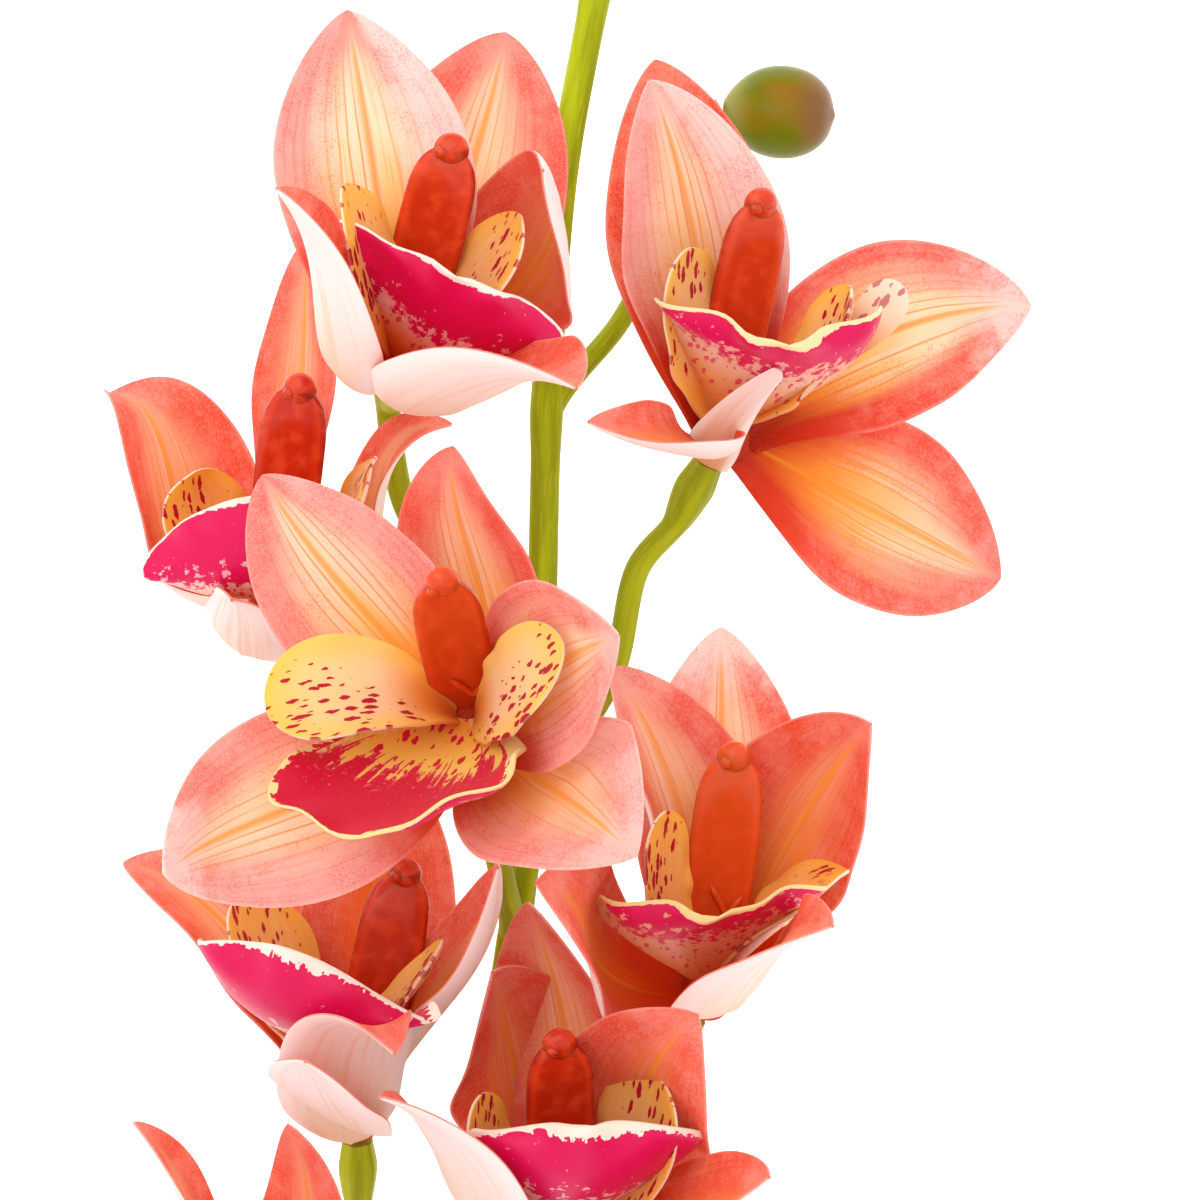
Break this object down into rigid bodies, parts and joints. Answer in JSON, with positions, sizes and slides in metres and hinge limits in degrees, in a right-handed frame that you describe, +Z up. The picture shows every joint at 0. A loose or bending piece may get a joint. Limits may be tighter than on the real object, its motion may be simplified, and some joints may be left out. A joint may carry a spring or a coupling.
{
  "type": "cymbidium orchid stem",
  "caption": "Cut cymbidium orchid stem lying on its side: curved green stalk, open coral blooms with spotted lips and glossy columns, and green buds.",
  "frame": {"origin": "middle of the stem's bounding box on the surface it lies on", "axes": "+Y along the stem towards its growing tip, +X to the right seen from above with the tip away, +Z up"},
  "size_m": [0.1792, 0.4832, 0.1303],
  "materials": {
    "stem": "satin olive green plant skin",
    "bud": "glossy green bud flushed bronze",
    "tepal": "coral petal tissue with cream middle and fine veins",
    "lip": "yellow and cream petal tissue with crimson spots and rim",
    "column": "glossy translucent orange red"
  },
  "bodies": {
    "root": {"stem": "stem", "side_bud": "bud", "upper_bud": "bud", "tip_bud": "bud", "upper_left_tepals": "tepal", "upper_left_lip": "lip", "upper_left_column": "column", "upper_right_tepals": "tepal", "upper_right_lip": "lip", "upper_right_column": "column", "middle_left_tepals": "tepal", "middle_left_lip": "lip", "middle_left_column": "column", "centre_tepals": "tepal", "centre_lip": "lip", "centre_column": "column", "lower_right_tepals": "tepal", "lower_right_lip": "lip", "lower_right_column": "column", "lower_left_tepals": "tepal", "lower_left_lip": "lip", "lower_left_column": "column", "lower_middle_tepals": "tepal", "lower_middle_lip": "lip", "lower_middle_column": "column", "lowest_tepals": "tepal", "lowest_lip": "lip", "lowest_column": "column"}
  },
  "joints": []
}
